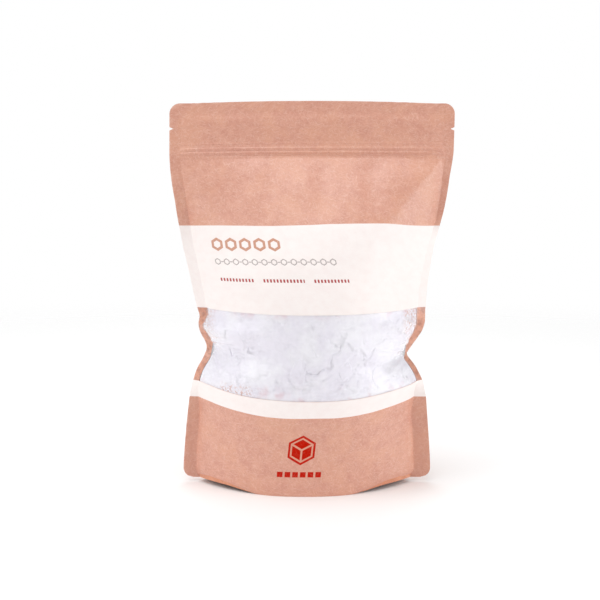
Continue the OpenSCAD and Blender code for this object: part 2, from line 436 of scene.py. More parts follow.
def mesh_from(name, vertices, faces, material_of=None, materials=(), flat=None, smooth_angle=40):
    """A mesh object from millimetre points. flat holds their places on the flat sheet, for the materials."""
    used = np.unique(np.concatenate([np.ravel(f) for f in faces]))
    index = np.full(len(vertices), -1)
    index[used] = np.arange(len(used))
    mesh = bpy.data.meshes.new(name)
    mesh.from_pydata((vertices[used] * MM).tolist(), [], [index[list(f)].tolist() for f in faces])
    for material in materials:
        mesh.materials.append(material)
    if material_of is not None:
        mesh.polygons.foreach_set("material_index", np.asarray(material_of, np.int32))
    if flat is not None:
        mesh.attributes.new("flat", "FLOAT_VECTOR", "POINT").data.foreach_set("vector", flat[used].ravel())
    mesh.polygons.foreach_set("use_smooth", np.ones(len(mesh.polygons), bool))
    mesh.set_sharp_from_angle(angle=math.radians(smooth_angle))
    obj = bpy.data.objects.new(name, mesh)
    bpy.context.scene.collection.objects.link(obj)
    return obj


def grid_cells(index, keep=None, flipped=False):
    """Quads of a grid of vertex numbers, and the row and column of each."""
    rows, cols = index.shape
    r, c = np.mgrid[0 : rows - 1, 0 : cols - 1]
    r, c = r.ravel(), c.ravel()
    if keep is not None:
        kept = keep[r, c]
        r, c = r[kept], c[kept]
    quads = np.stack([index[r, c], index[r, c + 1], index[r + 1, c + 1], index[r + 1, c]], 1)
    return (quads[:, ::-1] if flipped else quads), r, c


# A cell's sides: where the next cell is in a grid with a border, and the side's two corners
CELL_SIDES = (
    ((0, 1), (0, 1), (0, 0)),
    ((2, 1), (1, 0), (1, 1)),
    ((1, 0), (0, 0), (1, 0)),
    ((1, 2), (1, 1), (0, 1)),
)


def rim_cells(outer, inner, keep, flipped):
    """Quads that close the gap between two grids along every edge of the kept cells."""
    bordered = np.pad(keep, 1)
    quads = []
    for r, c in zip(*np.nonzero(keep)):
        for beyond, first, second in CELL_SIDES:
            if not bordered[r + beyond[0], c + beyond[1]]:
                a = (r + first[0], c + first[1])
                b = (r + second[0], c + second[1])
                quads.append((outer[a], outer[b], inner[b], inner[a]))
    quads = np.array(quads)
    return quads[:, ::-1] if flipped else quads


def shell_from(name, outer_points, inner_points, flat, materials, keep=None, flipped=False, row_slot=None):
    """A closed shell between two grids. materials are the inner side's, the rim's and the outer side's."""
    shape = outer_points.shape[:2]
    count = shape[0] * shape[1]
    outer = np.arange(count).reshape(shape)
    inner = outer + count
    keep = np.ones((shape[0] - 1, shape[1] - 1), bool) if keep is None else keep
    out_quads, r, _ = grid_cells(outer, keep, flipped)
    in_quads, _, _ = grid_cells(inner, keep, not flipped)
    rim = rim_cells(outer, inner, keep, flipped)
    slots = np.full(len(out_quads), 2) if row_slot is None else 2 + row_slot[r]
    material_of = np.concatenate([slots, np.zeros(len(in_quads), int), np.ones(len(rim), int)])
    vertices = np.concatenate([outer_points.reshape(-1, 3), inner_points.reshape(-1, 3)])
    flat = np.concatenate([flat.reshape(-1, 3)] * 2).astype(np.float32)
    faces = np.concatenate([out_quads, in_quads, rim])
    return mesh_from(name, vertices, faces, material_of, materials, flat)


def sheet_piece(name, cols, rows, face, materials, out, thickness=PLY, keep=None, row_slot=None):
    """A sheet of the pouch, its inner side out millimetres off the ply's surface."""
    inner_points, normal = ply_surface(cols[0][None], cols[1][None], rows[:, None], face, out)
    across = inner_points[..., 0] - inner_points[:, :1, 0]
    flat = np.stack(np.broadcast_arrays(across, rows[:, None], cols[1][None]), -1)
    outer_points = inner_points + normal * thickness
    return shell_from(name, outer_points, inner_points, flat, materials, keep, face == BACK, row_slot)


# -------- materials


class Shader:
    """A node material that is built with short calls."""

    def __init__(self, name):
        self.material = bpy.data.materials.new(name)
        self.material.use_nodes = True
        self.tree = self.material.node_tree
        self.tree.nodes.clear()
        self.output = self.tree.nodes.new("ShaderNodeOutputMaterial")

    def add(self, kind, inputs=(), **settings):
        node = self.tree.nodes.new("ShaderNode" + kind)
        for key, value in settings.items():
            setattr(node, key, value)
        for key, value in dict(inputs).items():
            socket = node.inputs[key]
            if isinstance(value, bpy.types.NodeSocket):
                self.tree.links.new(value, socket)
            else:
                socket.default_value = value
        return node

    def math(self, operation, a, b=0.0):
        return self.add("Math", {0: a, 1: b}, operation=operation).outputs[0]

    def times(self, a, b):
        return self.math("MULTIPLY", a, b)

    def plus(self, a, b):
        return self.math("ADD", a, b)

    def minus(self, a, b):
        return self.math("SUBTRACT", a, b)

    def off(self, value, middle):
        """How far the value is from the middle, on either side."""
        return self.math("ABSOLUTE", self.minus(value, middle))

    def split(self, vector):
        """The vector's three parts: for a place on the flat sheet, across, up and the share of a seal."""
        return self.add("SeparateXYZ", {0: vector}).outputs

    def flat(self):
        """Place on the flat sheet, in millimetres."""
        return self.add("Attribute", attribute_name="flat").outputs["Vector"]

    def place(self):
        """Place in the object, in millimetres."""
        coordinates = self.add("TexCoord").outputs["Object"]
        return self.scaled(coordinates, 1 / MM)

    def scaled(self, vector, scale, turn=0.0):
        """The vector turned about Z, and then scaled along each axis."""
        scale = (scale,) * 3 if isinstance(scale, (int, float)) else scale
        inputs = {"Vector": vector, "Rotation": (0, 0, turn), "Scale": tuple(1 / k for k in scale)}
        return self.add("Mapping", inputs, vector_type="TEXTURE").outputs[0]

    def noise(self, vector, size, detail=2.0, rough=0.5):
        """Noise from 0 to 1, whose features are about size millimetres across."""
        inputs = {"Vector": vector, "Scale": 1 / size, "Detail": detail, "Roughness": rough}
        return self.add("TexNoise", inputs).outputs["Fac"]

    def ramp(self, value, low, high, start=0.0, end=1.0):
        """start where the value is at low, and end where it is at high, with an easy turn at both."""
        inputs = {"Value": value, "From Min": low, "From Max": high, "To Min": start, "To Max": end}
        return self.add("MapRange", inputs, interpolation_type="SMOOTHSTEP").outputs[0]

    def blend(self, amount, a, b):
        """Colour a where amount is 0 and b where it is 1."""
        factor, colour_a, colour_b, result = 0, 6, 7, 2
        inputs = {factor: amount, colour_a: a, colour_b: b}
        return self.add("Mix", inputs, data_type="RGBA").outputs[result]

    def raised(self, height, distance_mm, strength=1.0):
        """The normal of a surface that a height from 0 to 1 raises by up to the distance."""
        inputs = {"Height": height, "Distance": distance_mm * MM, "Strength": strength}
        return self.add("Bump", inputs).outputs[0]

    def surface(self, shader):
        self.tree.links.new(shader, self.output.inputs["Surface"])
        return self.material

    def principled(self, colour, roughness, normal=None, **more):
        """The finished material. more are other inputs, with _ for each space."""
        inputs = {"Base Color": colour, "Roughness": roughness}
        inputs.update({key.replace("_", " "): value for key, value in more.items()})
        if normal is not None:
            inputs["Normal"] = normal
        return self.surface(self.add("BsdfPrincipled", inputs).outputs[0])


def rgb(red, green, blue):
    """A scene-linear colour from display values of 0 to 255."""

    def linear(v):
        v = v / 255
        return v / 12.92 if v <= 0.04045 else ((v + 0.055) / 1.055) ** 2.4

    return (linear(red), linear(green), linear(blue), 1)


KRAFT_LIGHT = rgb(222, 163, 141)
KRAFT_MID = rgb(210, 147, 126)
KRAFT_DARK = rgb(187, 126, 104)
KRAFT_PALE = rgb(239, 199, 180)
KRAFT_WARM = rgb(227, 167, 137)
CREAM = rgb(253, 245, 242)
CREAM_CLOUD = rgb(251, 241, 238)
CREAM_FIBRE = rgb(240, 220, 212)
CREAM_SEAL = rgb(242, 228, 222)
TAN_INK = rgb(206, 152, 128)
GREY_INK = rgb(178, 168, 166)
WINE_INK = rgb(176, 66, 66)
RED_INK = rgb(192, 28, 10)
INSIDE_DARK = rgb(212, 138, 104)
INSIDE_LIGHT = rgb(228, 158, 124)
INSIDE_FIBRE = rgb(236, 190, 165)
INSIDE_BURNT = rgb(168, 98, 70)
CHALK_DULL = rgb(246, 243, 250)
CHALK_CLEAN = rgb(253, 252, 255)
CHALK_GRAIN = rgb(226, 222, 232)
# A painted reflection: the pink of the kraft as the film reflects it, mixed into the chalk's colour
CHALK_PAINTED_REFLECTION = rgb(232, 200, 206)
CHALK_SPECK = rgb(206, 146, 118)
DUST = rgb(246, 243, 249)
MILKY = (rgb(236, 234, 228), rgb(246, 245, 241))
WHITE = (1, 1, 1, 1)


def fibres(s, where, turns=(0.3, 1.25, 2.2, 2.85)):
    """Short paper fibres that lie in several directions, from 0 to 1."""
    strongest = 0.0
    for i, turn in enumerate(turns):
        along = s.scaled(where, (0.22, 1.7, 1 + i), turn)
        streak = s.ramp(s.noise(along, 1.0, 1.0), 0.60, 0.72)
        strongest = s.math("MAXIMUM", strongest, streak)
    return strongest


def paper_surface(s, where):
    """Masks and a height for kraft paper: clouds of pulp, grain and fibres."""
    clouds = s.noise(where, 6.0, 4.0, 0.65)
    grain = s.noise(where, 1.3, 4.0, 0.75)
    streaks = fibres(s, where)
    height = s.plus(s.times(grain, 0.9), s.times(streaks, 0.5))
    return clouds, grain, streaks, height


def kraft_colour(s, where, clouds, grain, streaks):
    """Mottled brown with warm patches, dark flecks and pale fibres."""
    tone = s.plus(s.times(clouds, 0.5), s.times(grain, 0.5))
    base = s.blend(s.ramp(tone, 0.38, 0.62), KRAFT_MID, KRAFT_LIGHT)
    warm = s.ramp(s.noise(where, 30.0, 3.0, 0.6), 0.44, 0.62, 0.0, 0.4)
    base = s.blend(warm, base, KRAFT_WARM)
    flecks = s.ramp(grain, 0.42, 0.30)
    base = s.blend(s.times(flecks, 0.4), base, KRAFT_DARK)
    return s.blend(s.times(streaks, 0.42), base, KRAFT_PALE)


def edge_wear(s, where, clouds):
    """Paler, rubbed paper along the pouch's left and top edges, from 0 to 1."""
    across, up, _ = s.split(where)
    from_edge = s.math("MINIMUM", across, s.off(up, TOP))
    near = s.ramp(from_edge, 1.4, 0.0)
    return s.times(near, s.ramp(clouds, 0.45, 0.62))


def seal_tint(s, where, colour, dark, amount):
    """Darkens the seals: a little above the zip, more below it, and most of all low down."""
    _, up, sealed = s.split(where)
    foot = s.ramp(up, 75, 45, 0.0, 0.55)
    below_zip = s.ramp(up, 226, 218, 0.1, 0.3)
    tint = s.times(s.ramp(sealed, 0.0, 0.12), s.plus(foot, below_zip))
    return s.blend(s.times(tint, amount), colour, dark)


def kraft(name, marks=()):
    """Satin kraft laminate. marks are (mark, its sizes, ink) as printed on it."""
    s = Shader(name)
    where = s.flat()
    clouds, grain, streaks, height = paper_surface(s, where)
    colour = kraft_colour(s, where, clouds, grain, streaks)
    colour = seal_tint(s, where, colour, KRAFT_DARK, 0.4)
    colour = s.blend(s.times(edge_wear(s, where, clouds), 0.5), colour, KRAFT_PALE)
    gloss = 0.8
    for mark, sizes, ink in marks:
        covered = mark(s, where, *sizes)
        over_fibres = s.ramp(streaks, 0.0, 1.0, 1.0, 0.9)
        colour = s.blend(s.times(covered, over_fibres), colour, ink)
        gloss = s.minus(gloss, s.times(covered, 0.75))
    rough = s.ramp(grain, 0.3, 0.7, 0.36, 0.48)
    normal = s.raised(height, 0.06, 0.45)
    return s.principled(colour, rough, normal, Specular_IOR_Level=gloss)


def printed(name, marks):
    """Cream ink over the kraft, through which the fibres show faintly."""
    s = Shader(name)
    where = s.flat()
    clouds, grain, streaks, height = paper_surface(s, where)
    colour = s.blend(s.ramp(clouds, 0.35, 0.7), CREAM, CREAM_CLOUD)
    colour = s.blend(s.times(streaks, 0.10), colour, CREAM_FIBRE)
    colour = seal_tint(s, where, colour, CREAM_SEAL, 0.2)
    for mark, sizes, ink in marks:
        through_grain = s.ramp(grain, 0.3, 0.5, 0.82, 1.0)
        colour = s.blend(s.times(mark(s, where, *sizes), through_grain), colour, ink)
    rough = s.ramp(grain, 0.3, 0.7, 0.40, 0.54)
    normal = s.raised(height, 0.04, 0.4)
    return s.principled(colour, rough, normal, Specular_IOR_Level=0.4)


def inner_laminate():
    """The kraft seen through the plastic it is laminated to: darker, warmer and glossier."""
    s = Shader("inner_laminate")
    where = s.flat()
    clouds, _, streaks, _ = paper_surface(s, where)
    base = s.blend(s.ramp(clouds, 0.35, 0.65), INSIDE_DARK, INSIDE_LIGHT)
    colour = s.blend(s.times(streaks, 0.25), base, INSIDE_FIBRE)
    sealed = s.ramp(s.split(where)[2], 0.0, 0.1)
    patches = s.ramp(s.noise(where, 3.5, 4.0, 0.6), 0.46, 0.62, 0.0, 0.6)
    colour = s.blend(s.times(sealed, patches), colour, INSIDE_BURNT)
    crinkle = s.raised(s.noise(where, 5.0, 3.0), 0.3, 0.4)
    return s.principled(colour, 0.36, crinkle, Coat_Weight=0.15, Coat_Roughness=0.15)


def clear_film():
    """Thin clear film: light goes straight through, creases catch the lights, and chalk dusts its inside."""
    s = Shader("clear_film")
    where = s.flat()
    creases = s.plus(s.noise(where, 9.0, 3.0, 0.6), s.times(s.noise(where, 2.2, 2.0), 0.2))
    normal = s.raised(creases, 0.5, 0.3)
    clear = s.add("BsdfTransparent", {"Color": (0.99, 0.99, 0.995, 1)}).outputs[0]
    gloss = s.add("BsdfGlossy", {"Color": WHITE, "Roughness": 0.33, "Normal": normal}).outputs[0]
    haze = s.add("BsdfDiffuse", {"Color": DUST, "Normal": normal}).outputs[0]
    facing = s.add("LayerWeight", {"Blend": 0.5, "Normal": normal}).outputs["Facing"]
    shine = s.plus(s.times(s.math("POWER", facing, 5.0), 0.9), 0.04)
    off_seal = s.ramp(s.split(where)[2], 0.25, 0.0)
    dust = s.times(off_seal, s.ramp(s.noise(where, 14.0, 4.0, 0.65), 0.42, 0.75, 0.02, 0.12))
    body = s.add("MixShader", {0: dust, 1: clear, 2: haze}).outputs[0]
    return s.surface(s.add("MixShader", {0: shine, 1: body, 2: gloss}).outputs[0])


def chalk_gaps(s, across, up):
    """Where the powder lies so thin that paper shows: the window's upper corners and its lower left one."""
    sides = s.ramp(s.off(across, -2.5), 60.0, 67.0)
    upper = s.times(sides, s.ramp(up, 99.0, 106.0))
    lower = s.times(s.ramp(s.off(across, -50.0), 15.0, 6.0), s.ramp(up, 74.0, 67.0))
    return s.math("MAXIMUM", upper, lower)


def chalk(name):
    """Dusty magnesium carbonate: nearly white, a little cool, with a soft powder grain. Near the window's
    upper and lower borders a painted pink reflection of the kraft is mixed into its colour.
    """
    s = Shader(name)
    where = s.place()
    across, _, up = s.split(where)
    patches = s.noise(where, 22.0, 4.0, 0.6)
    grain = s.noise(where, 1.4, 5.0, 0.7)
    colour = s.blend(s.ramp(patches, 0.38, 0.62), CHALK_DULL, CHALK_CLEAN)
    colour = s.blend(s.ramp(grain, 0.40, 0.28, 0.0, 0.35), colour, CHALK_GRAIN)
    # Painted reflection: a pink tint near the window's upper and lower borders, where the film reflects the
    # kraft
    from_border = s.minus((WINDOW[1] - WINDOW[0]) / 2, s.off(up, 94.0))
    painted_reflection = s.times(s.ramp(from_border, 8.0, 1.0), s.ramp(s.noise(where, 9.0, 2.0), 0.5, 0.68))
    colour = s.blend(s.times(painted_reflection, 0.7), colour, CHALK_PAINTED_REFLECTION)
    specks = s.times(chalk_gaps(s, across, up), s.ramp(s.noise(where, 1.2, 4.0, 0.6), 0.52, 0.58))
    colour = s.blend(s.times(specks, 0.8), colour, CHALK_SPECK)
    height = s.plus(s.noise(where, 3.0, 3.0, 0.55), s.times(grain, 0.6))
    return s.principled(colour, 0.95, s.raised(height, 0.35, 0.4), Specular_IOR_Level=0.15)


def zip_plastic():
    """Milky polyethylene, drawn lengthwise."""
    s = Shader("zip_plastic")
    where = s.place()
    drawn = s.noise(s.scaled(where, (0.05, 1.0, 1.0)), 0.5, 2.0)
    normal = s.raised(drawn, 0.04, 0.5)
    return s.principled(s.blend(drawn, *MILKY), 0.36, normal, Specular_IOR_Level=0.5)


# -------- printed marks

# Each mark is a mask from 0 to 1 on the flat sheet. Its edges are blurred by this many millimetres.
SOFT = 0.12
SOFT_FINE = 0.1


def within(s, off, half, soft):
    """1 where off is below half, and 0 where it is above."""
    return s.ramp(off, half + soft, half - soft)


def seen_from(s, where, x, z):
    """The place as seen from the point (x, z)."""
    return s.add("VectorMath", {0: where, 1: (x, z, 0)}, operation="SUBTRACT").outputs[0]


def distance_along(s, place, angle):
    """How far a place lies from zero along a direction, negative the other way."""
    a = math.radians(angle)
    direction = (math.cos(a), math.sin(a), 0)
    return s.add("VectorMath", {0: place, 1: direction}, operation="DOT_PRODUCT").outputs["Value"]


def box(s, where, x0, x1, z0, z1):
    """A rectangle."""
    across, up, _ = s.split(where)
    in_x = within(s, s.off(across, (x0 + x1) / 2), (x1 - x0) / 2, SOFT)
    in_z = within(s, s.off(up, (z0 + z1) / 2), (z1 - z0) / 2, SOFT)
    return s.times(in_x, in_z)


def bars(s, where, x0, x1, z0, z1, pitch, fill):
    """A row of equal bars, each of which fills a share of the pitch."""
    across = s.split(where)[0]
    phase = s.math("FRACT", s.math("DIVIDE", s.minus(across, x0), pitch))
    off = s.times(s.off(phase, fill / 2), pitch)
    bar = within(s, off, fill * pitch / 2, SOFT_FINE)
    return s.times(bar, box(s, where, x0 - SOFT_FINE, x1, z0, z1))


def hexagon(s, where, x, z, radius):
    """A solid hexagon that stands on a corner."""
    place = seen_from(s, where, x, z)
    inside = 1.0
    for angle in (0, 60, 120):
        off = s.math("ABSOLUTE", distance_along(s, place, angle))
        inside = s.times(inside, within(s, off, radius * math.cos(math.pi / 6), SOFT))
    return inside


def spokes(s, where, x, z, radius, width):
    """Three spokes, which make a hexagon look like a block."""
    place = seen_from(s, where, x, z)
    found = 0.0
    for angle in (-90, 30, 150):
        along = s.off(distance_along(s, place, angle), radius / 2)
        aside = s.math("ABSOLUTE", distance_along(s, place, angle + 90))
        near = within(s, along, radius / 2, SOFT_FINE)
        thin = within(s, aside, width / 2, SOFT_FINE)
        found = s.math("MAXIMUM", found, s.times(near, thin))
    return found


def ring_row(s, where, x, z, pitch, count, radius, hole):
    """A row of hexagonal rings, the first with its middle at (x, z)."""
    across, up, _ = s.split(where)
    turns = s.math("DIVIDE", s.minus(across, x - pitch / 2), pitch)
    local = s.times(s.minus(s.math("FRACT", turns), 0.5), pitch)
    folded = s.add("CombineXYZ", {0: local, 1: up, 2: 0.0}).outputs[0]
    ring = s.minus(hexagon(s, folded, 0, z, radius), hexagon(s, folded, 0, z, hole))
    row = box(s, where, x - pitch / 2, x + (count - 0.5) * pitch, z - radius, z + radius)
    return s.times(ring, row)


# On the cream band: a row of rings, a chain and three lines of dashes, as (mark, its sizes, ink)
CHAIN_X, CHAIN_Z = 23.2, 151.4
CHAIN_PITCH, CHAIN_RINGS = 6.2, 13
LABEL_MARKS = (
    (ring_row, (25.2, 162.6, 9.4, 5, 4.4, 2.5), TAN_INK),
    (ring_row, (CHAIN_X, CHAIN_Z, CHAIN_PITCH, CHAIN_RINGS, 2.2, 1.5), GREY_INK),
    (bars, (25.3, 97.6, CHAIN_Z - 0.3, CHAIN_Z + 0.3, CHAIN_PITCH, 0.33), GREY_INK),
    *[(bars, (x0, x1, 138.8, 140.8, 2.1, 0.56), WINE_INK) for x0, x1 in ((22.5, 45), (51, 77), (83, 105))],
)

# On the foot: a block seen corner on, in a hexagonal ring, over a row of six squares
EMBLEM = (79, 31)
BLOCK_R = 7.2
BASE_MARKS = (
    (hexagon, (*EMBLEM, 10), RED_INK),
    (hexagon, (*EMBLEM, 8.4), KRAFT_LIGHT),
    (hexagon, (*EMBLEM, BLOCK_R), RED_INK),
    (spokes, (*EMBLEM, BLOCK_R, 1.2), KRAFT_LIGHT),
    (bars, (64.5, 93.5, 12.9, 16.5, 4.95, 0.74), RED_INK),
)


# -------- pieces


def bend_with_lip(obj):
    """Bakes the piece's transform into its mesh."""
    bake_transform(obj)


def panel_rows(step):
    """Rows that hit every printed line, and are close together where the plies part and over the zip."""
    coarse = [(step, z) for z in (*STRIPE, WINDOW[1], LABEL[1], LIP, PARTING - 6)]
    fine = [(0.2 * step, ZIP), (0.28 * step, ZIP + 7)]
    return spaced_rows(0, *coarse, *fine, (step, TEAR - NOTCH_HALF_H), (step, TEAR))


def between(z, span):
    return (z > span[0]) & (z < span[1])


def make_panels(step, cols):
    """Both panels with their lips. It returns the kraft of the front, of the back and of the inside."""
    rows = panel_rows(step)
    middle = (rows[:-1] + rows[1:]) / 2
    is_printed = between(middle, STRIPE) | between(middle, LABEL)
    keep = np.ones((len(rows) - 1, len(cols[0]) - 1), bool)
    keep[between(middle, WINDOW)] = False
    front_kraft = kraft("kraft_front", BASE_MARKS)
    inside = inner_laminate()
    materials = [inside, front_kraft, front_kraft, printed("cream_print", LABEL_MARKS)]
    slot = is_printed.astype(int)
    front = sheet_piece("front_paper", cols, rows, FRONT, materials, FRONT_OUT, keep=keep, row_slot=slot)
    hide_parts("front_panel", "front_lip")
    bend_with_lip(front)
    plain_kraft = kraft("kraft_back")
    back = sheet_piece("back_paper", cols, rows, BACK, [inside, plain_kraft, plain_kraft], BACK_OUT)
    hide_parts("back_panel", "back_lip")
    bend_with_lip(back)
    return front_kraft, plain_kraft, inside


def make_header(step, cols, front_kraft, plain_kraft, inside):
    """The strip above the tear line: two plies, with rows that round its corners."""
    arc = TOP - CORNER_R * (1 - np.sin(np.linspace(0, math.pi / 2, 9)))
    straight = spaced_rows(TEAR, (step, TEAR + NOTCH_HALF_H), (step, TOP - CORNER_R))
    rows = np.concatenate([straight[:-1], arc])
    sides = (("front", FRONT, front_kraft, FRONT_OUT), ("back", BACK, plain_kraft, BACK_OUT))
    for name, face, skin, out in sides:
        piece = sheet_piece(f"header_{name}", cols, rows, face, [inside, skin, skin], out)
        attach(piece, "tear_header")
        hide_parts(f"header_{name}_ply")


def make_window(step, cols):
    """The film, which laps behind the paper above and below the window."""
    low, high = WINDOW
    rows = spaced_rows(low - FILM_MARGIN, (step, low), (step, high), (step, high + FILM_MARGIN))
    piece = sheet_piece("window", cols, rows, FRONT, [clear_film()] * 3, FILM_OUT, FILM)
    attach(piece, "pouch")
    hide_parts("window_film")


def fold_z(t):
    """Height of the fold where the gusset leaves a panel: it climbs towards the side seals."""
    return SKIRT + lift(t, 0) + 34 * np.abs(t) ** 6


def make_gusset(cols, inside):
    """The floor: up the inside of the front panel, across and down the inside of the back panel."""
    t = cols[0][SEAL_COLUMNS:-SEAL_COLUMNS] * 0.985
    up = np.linspace(0, 1, 8)[:, None]
    over = np.linspace(-1, 1, 61)[1:-1, None]
    skirt_z = mix(lift(t, 0) + 0.4, fold_z(t), up)
    front = ply_surface(t, 0 * t, skirt_z, FRONT, GUSSET_OUT)[0]
    back = ply_surface(t, 0 * t, skirt_z, BACK, GUSSET_OUT)[0]
    front[..., 2] = skirt_z
    back[..., 2] = skirt_z
    floor = mix(front[-1], back[-1], ((over + 1) / 2)[..., None])
    creases = 0.7 * ripple(34, 61, floor[..., 0], floor[..., 1])
    sag = 2.2 * (1 - t**2)
    floor[..., 2] += (1 - over**2) * (1 - t**4) * (creases - sag)
    grid = np.concatenate([front, floor, back[::-1]])
    normal = outward(grid, FRONT)
    along = np.linalg.norm(np.diff(grid, axis=0), axis=-1)
    flat_z = np.concatenate([np.zeros((1, len(t))), np.cumsum(along, axis=0)])
    flat = np.stack([grid[..., 0] - grid[:, :1, 0], flat_z, np.zeros(flat_z.shape)], -1)
    skin = kraft("kraft_gusset")
    piece = shell_from("gusset", grid, grid - normal * PLY, flat, [skin, skin, inside])
    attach(piece, "pouch")
    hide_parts("bottom_gusset")


def wander(x, z, coarse_seed, fine_seed, finest_seed):
    """A shift that bends the straight borders of cells."""
    coarse, fine = ripple(30, coarse_seed, x, z), ripple(7, fine_seed, x, z)
    return 3.5 * coarse + 0.9 * fine + 0.3 * ripple(2.5, finest_seed, x, z)


def crevices(x, z):
    """How deep the pressed powder is broken up behind the window: cracks, crumbs and the edge of a slump."""
    bent_x = x + wander(x, z, 71, 72, 70)
    bent_z = z + wander(x, z, 73, 74, 69)
    border, tone = cells(bent_x, bent_z, 17, 75)
    small_border, small_tone = cells(bent_x, bent_z, 5.5, 76)
    cracks = 0.9 * (1 - smooth(border / 1.5)) * smooth(0.35 + 0.7 * ripple(22, 78, x, z))
    crumbled = 0.5 * ripple(36, 77, x, z) + 0.5 * bump((z - 70) / 26) + 0.25 * bump((x - 35) / 40)
    crumbs = 0.7 * (1 - smooth(small_border)) + 0.7 * small_tone
    from_slump = 0.83 * (bent_x + 9) - 0.56 * (bent_z - 68) + 2.2 * ripple(9, 80, x, z)
    slump = 1.7 * bell(from_slump / 1.3) * bump((z - 88) / 28)
    grain = 0.05 * ripple(2.6, 79, x, z)
    return cracks + smooth(0.25 + crumbled) * crumbs + 0.35 * tone + slump + grain


def seal_middle(t, z):
    """Y half way between the two plies."""
    return np.where(t < 0, seal_y(z, LEFT), seal_y(z, RIGHT)) * np.abs(t) ** 5


def chalk_wall(t, z, face, gap):
    """A grid of points a gap behind a panel, and never past the middle of the pouch."""
    points = ply_surface(t, 0 * t, z, face)[0]
    middle = seal_middle(t, z)
    off_middle = np.maximum(face * (points[..., 1] - middle) - gap, 0.12)
    points[..., 1] = middle + face * off_middle
    return points


def heap_between(front, back, t):
    """The powder's uneven top, from the last row of one wall to the last row of the other."""
    over = np.linspace(-1, 1, 44)[1:-1, None]
    heap = mix(front[-1], back[-1], ((over + 1) / 2)[..., None])
    x, y = heap[..., 0], heap[..., 1]
    rise = 2.2 + 1.3 * ripple(30, 81, x, y) + 0.7 * ripple(9, 82, x, y)
    heap[..., 2] += (1 - over**4) * (1 - t**8) * rise
    return heap


def tube_faces(count, length, flipped=False):
    """Faces of a tube of length columns, each a closed ring of count points, and its two end caps."""
    index = np.arange(count * length).reshape(count, length)
    quads, _, _ = grid_cells(np.concatenate([index, index[:1]]), flipped=flipped)
    caps = [index[:, 0].tolist(), index[::-1, -1].tolist()]
    return quads.tolist() + [cap[::-1] if flipped else cap for cap in caps]


def make_chalk(step, material):
    """The powder: a body that fills the pouch, broken up behind the window and heaped on top."""
    belly = 152
    t = 0.994 * crowded(round(belly / step), 1.25)
    seen_low, seen_high = WINDOW[0] - 6.1, WINDOW[1] + 6.4
    foot = mix(fold_z(t) + 1.2, seen_low, np.linspace(0, 1, 14)[:-1, None])
    window = np.arange(seen_low, seen_high, step)[:, None] + 0 * t
    top = CHALK_TOP + CHALK_CROWN * np.cos(t * math.pi / 2)
    head = mix(seen_high, top, np.linspace(0, 1, 16)[:, None])
    z = np.concatenate([foot, window, head])
    seen = smooth((z - 62.5) / 6) * smooth((119 - z) / 6) * smooth((0.99 - np.abs(t)) / 0.06)
    flat_x = form(t[None], 0 * t[None], z, FRONT)[..., 0]
    front = chalk_wall(t[None], z, FRONT, 0.15 + seen * (0.25 + crevices(flat_x, z)))
    back = chalk_wall(t[None], z, BACK, 0.9)
    under = mix(back[0], front[0], np.linspace(0, 1, 12)[1:-1, None, None])
    grid = np.concatenate([front, heap_between(front, back, t), back[::-1], under])
    faces = tube_faces(*grid.shape[:2])
    piece = mesh_from("chalk_bed", grid.reshape(-1, 3), faces, materials=[material], smooth_angle=60)
    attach(piece, "pouch")
    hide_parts("chalk_powder")


def points_and_faces(mesh):
    """A bmesh's points and faces. It is freed."""
    points = np.array([vertex.co for vertex in mesh.verts])
    faces = [[vertex.index for vertex in face.verts] for face in mesh.faces]
    mesh.free()
    return points, faces


def film_surface():
    """The film's plain surface, to cast rays at."""
    t = np.linspace(-1, 1, 161)
    rows = np.arange(WINDOW[0] - 10, WINDOW[1] + 10, 1.0)[:, None]
    grid = ply_surface(t[None], 0 * t[None], rows, FRONT)[0]
    quads, _, _ = grid_cells(np.arange(grid[..., 0].size).reshape(grid.shape[:2]))
    return BVHTree.FromPolygons(grid.reshape(-1, 3).tolist(), quads.tolist())


def film_y(film, x, z):
    """Y of the film at each x and z."""
    backwards = Vector((0, 1, 0))
    return np.array([film.ray_cast(Vector((a, -100, b)), backwards)[0].y for a, b in zip(x, z)])


def make_lump(k, film, material, fineness):
    """A chunk of pressed chalk: its front lies flat behind the film, and its back is sunk in the powder."""
    low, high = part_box(f"chalk_lump_{k}")
    centre = np.array((low + high) / 2 / MM)
    half_size = np.array((high - low) / 2 / MM)
    mesh = bmesh.new()
    bmesh.ops.create_icosphere(mesh, subdivisions=fineness, radius=1)
    ball, faces = points_and_faces(mesh)
    seed = 10 * k
    lobes = 1 + 0.13 * ripple(1.7, seed, *ball.T) + 0.05 * ripple(0.7, seed + 1, *ball.T)
    points = ball * lobes[:, None] * half_size + centre
    x, z = points[:, 0], points[:, 2]
    front_y = film_y(film, x, z)
    graze = 0.3 + 0.22 * (1 + ripple(11, seed + 2, x, z)) + 0.05 * ripple(2.6, seed + 3, x, z)
    foremost = np.argmin(points[:, 1])
    pressed = 1.4
    y = points[:, 1] - points[foremost, 1] + front_y[foremost] - pressed
    points[:, 1] = front_y + graze + softplus(y - front_y - graze, 0.35)
    piece = mesh_from(f"lump_{k}", points, faces, materials=[material], smooth_angle=60)
    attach(piece, "pouch")
    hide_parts(f"chalk_lump_{k}")


